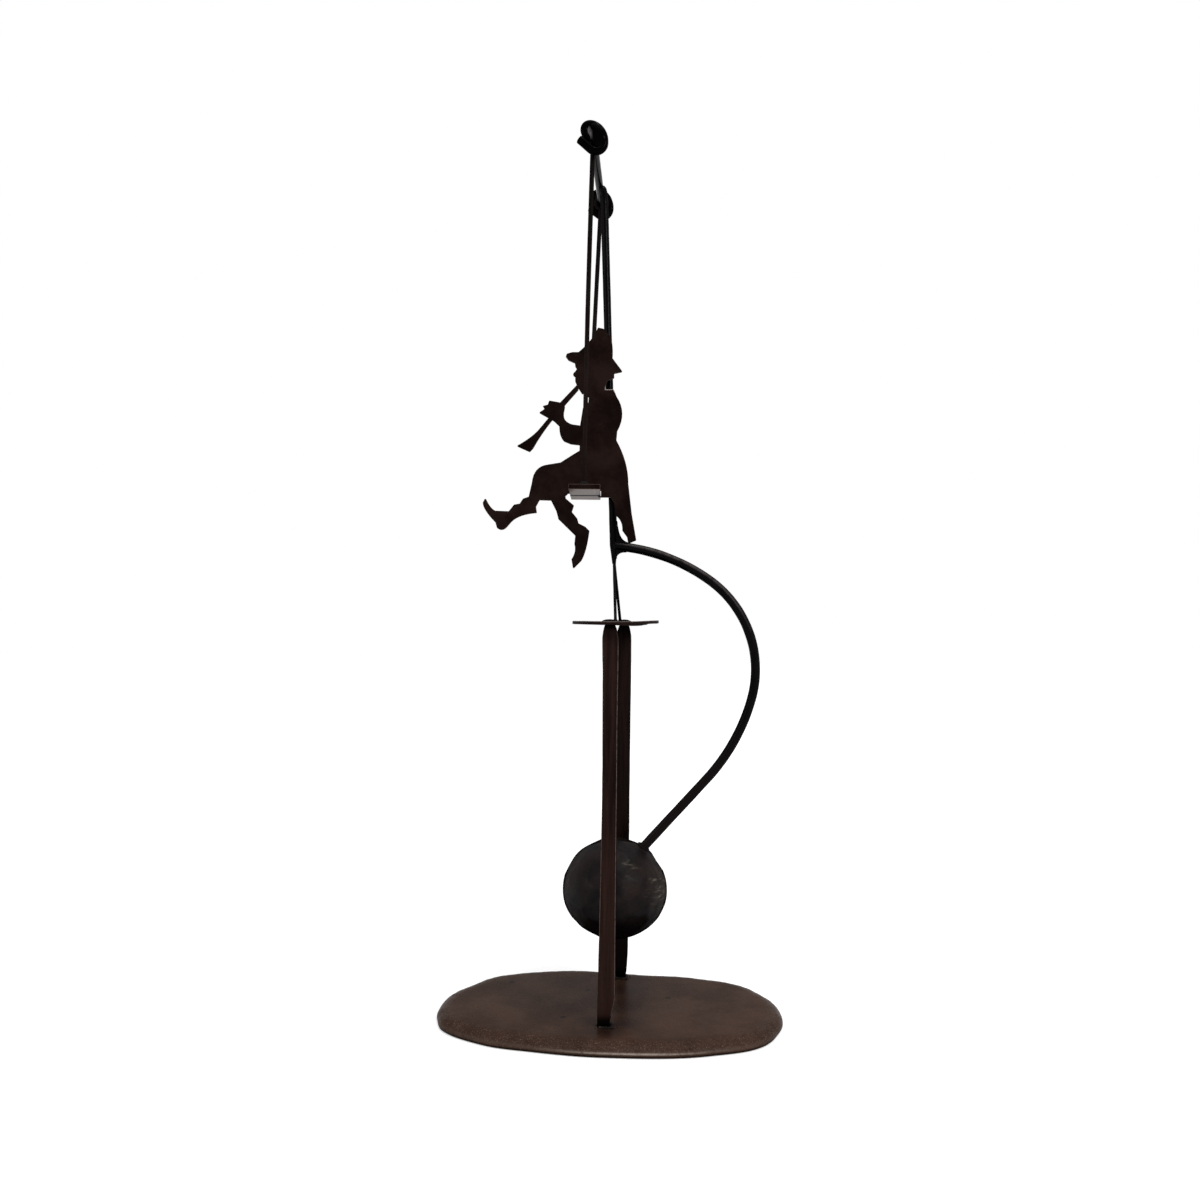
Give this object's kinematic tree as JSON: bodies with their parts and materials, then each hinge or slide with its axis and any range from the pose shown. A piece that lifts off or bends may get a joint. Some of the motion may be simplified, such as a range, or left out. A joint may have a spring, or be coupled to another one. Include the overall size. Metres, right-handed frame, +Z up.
{
  "type": "counterweight balancing toy",
  "caption": "Balancing toy in forged steel: a flat sheet piper sits on a swing that hangs from a bent-rod frame, which rocks on a stand and is held upright by a heavy ball.",
  "frame": {"origin": "middle of the oval base's underside, on the surface that the toy stands on", "axes": "+Z up; +X along the base's long axis, toward the side that the counterweight arm bows out to; +Y along the crossbar, away from the viewer when the piper faces left"},
  "size_m": [0.222, 0.134, 0.5504],
  "materials": {
    "rod_black": "glossy black over drawn steel rod",
    "patina_brown": "dark brown waxed patina with bright worn edges",
    "base_brown": "brown satin patina, hammered round the edge",
    "ball_grey": "dark grey forged steel with scuffs",
    "weld_grey": "rippled weld bead, lightly blackened"
  },
  "bodies": {
    "stand": {"base_plate": "base_brown", "front_post": "patina_brown", "rear_post": "patina_brown", "front_foot_weld": "weld_grey", "rear_foot_weld": "weld_grey", "top_plate": "patina_brown"},
    "balance_frame": {"rocker_fork": "rod_black", "upright": "rod_black", "junction_weld": "rod_black", "counterweight_arm": "rod_black", "counterweight_ball": "ball_grey", "ball_weld": "weld_grey", "crossbar": "rod_black", "crossbar_weld": "weld_grey"},
    "swing": {"front_hanger": "rod_black", "rear_hanger": "rod_black", "front_hanger_weld": "weld_grey", "rear_hanger_weld": "weld_grey", "seat_plate": "patina_brown", "piper_figure": "patina_brown", "figure_weld": "weld_grey"}
  },
  "joints": [
    {"name": "rock", "type": "hinge", "parent": "stand", "child": "balance_frame", "pos_m": [0.0026, 0.0075, 0.25528], "axis": [0, 1, 0], "range_deg": [-25, 25]},
    {"name": "swing", "type": "hinge", "parent": "balance_frame", "child": "swing", "pos_m": [-0.01224, 0.0075, 0.53901], "axis": [0, 1, 0], "range_deg": [-1, 30]}
  ]
}
